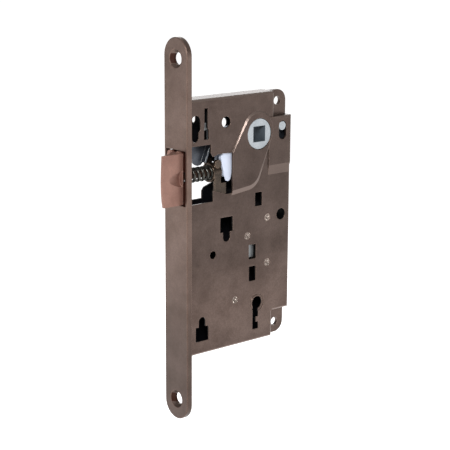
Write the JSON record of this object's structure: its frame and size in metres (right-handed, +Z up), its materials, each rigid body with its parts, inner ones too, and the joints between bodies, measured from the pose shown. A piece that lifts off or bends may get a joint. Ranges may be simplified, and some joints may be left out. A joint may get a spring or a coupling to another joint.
{
  "type": "mortise lock",
  "caption": "Mortise lock for a timber door: a sprung bevelled latch drawn by a square-spindle hub through a lever, and a bit-key locking slide in a pressed case.",
  "frame": {"origin": "centre of the faceplate's rear (seating) face, midway between its two screw holes", "axes": "+X into the door edge, towards the back of the case; +Y across the door, away from the side that shows the bolt's flat face; +Z up"},
  "size_m": [0.0858, 0.018, 0.196],
  "materials": {
    "bronze_plate": "satin bronze lacquer on steel",
    "bronze_case": "satin bronze lacquer on pressed steel, fine grain",
    "bolt_bronze": "satin bronze plating on a cast bolt",
    "copper_stem": "copper-coloured plating",
    "guide_bronze": "bronze plating, bright on its rims",
    "rivet_bronze": "bronze lacquer rubbed bright on the staked post ends",
    "dark_steel": "dark blued spring steel",
    "spring_wire": "bright drawn wire",
    "post_steel": "plain turned steel",
    "zinc": "zinc-plated, satin",
    "hub_zinc": "die-cast zinc, matt and slightly blue",
    "white_nylon": "white moulded nylon, faintly blue"
  },
  "bodies": {
    "case": {"faceplate": "bronze_plate", "case_near_shell": "bronze_case", "case_far_shell": "bronze_case", "case_posts": "rivet_bronze", "stem_guide": "guide_bronze", "catch_spring": "zinc", "lever_pivot_pin": "post_steel", "return_spring_seat": "zinc", "detent_spring_post": "post_steel", "latch_spring": "spring_wire", "return_spring": "spring_wire", "detent_spring": "spring_wire"},
    "latch": {"latch_head": "bolt_bronze", "latch_stem": "copper_stem", "stem_nut": "zinc", "latch_cross_pin": "post_steel", "latch_clip": "dark_steel"},
    "lever": {"latch_lever": "white_nylon"},
    "hub": {"hub": "hub_zinc"},
    "return": {"return_slider": "dark_steel", "slider_pin": "hub_zinc"},
    "lock_slide": {"locking_slide": "zinc"},
    "detent": {"detent_lever": "dark_steel"}
  },
  "joints": [
    {"name": "latch_slide", "type": "slide", "parent": "case", "child": "latch", "axis": [1, 0, 0], "range_m": [0, 0.01415], "stiffness_N_per_m": 400, "springref_m": -0.005, "deforming": ["latch_spring"]},
    {"name": "hub_turn", "type": "hinge", "parent": "case", "child": "hub", "pos_m": [0.047, 0, 0.0461], "axis": [0, 1, 0], "range_deg": [0, 32.11]},
    {"name": "lever_swing", "type": "hinge", "parent": "case", "child": "lever", "pos_m": [0.034, 0, 0.047], "axis": [0, -1, 0], "range_deg": [0, 42.21]},
    {"name": "return_drop", "type": "slide", "parent": "case", "child": "return", "axis": [0, 0, -1], "range_m": [0, 0.0047], "deforming": ["return_spring"]},
    {"name": "lock_slide_lift", "type": "slide", "parent": "case", "child": "lock_slide", "axis": [0, 0, 1], "range_m": [0, 0.006]},
    {"name": "detent_swing", "type": "hinge", "parent": "case", "child": "detent", "pos_m": [0.0539, 0, -0.0231], "axis": [0, 1, 0], "range_deg": [0, 4.3], "deforming": ["detent_spring"]}
  ],
  "couplings": [
    {"joint": "hub_turn", "follows": "latch_slide", "rad_per_m": 39.594},
    {"joint": "lever_swing", "follows": "latch_slide", "rad_per_m": 52.052},
    {"joint": "return_drop", "follows": "latch_slide", "ratio": 0.33215},
    {"joint": "detent_swing", "follows": "lock_slide_lift", "rad_per_m": 12.508}
  ]
}
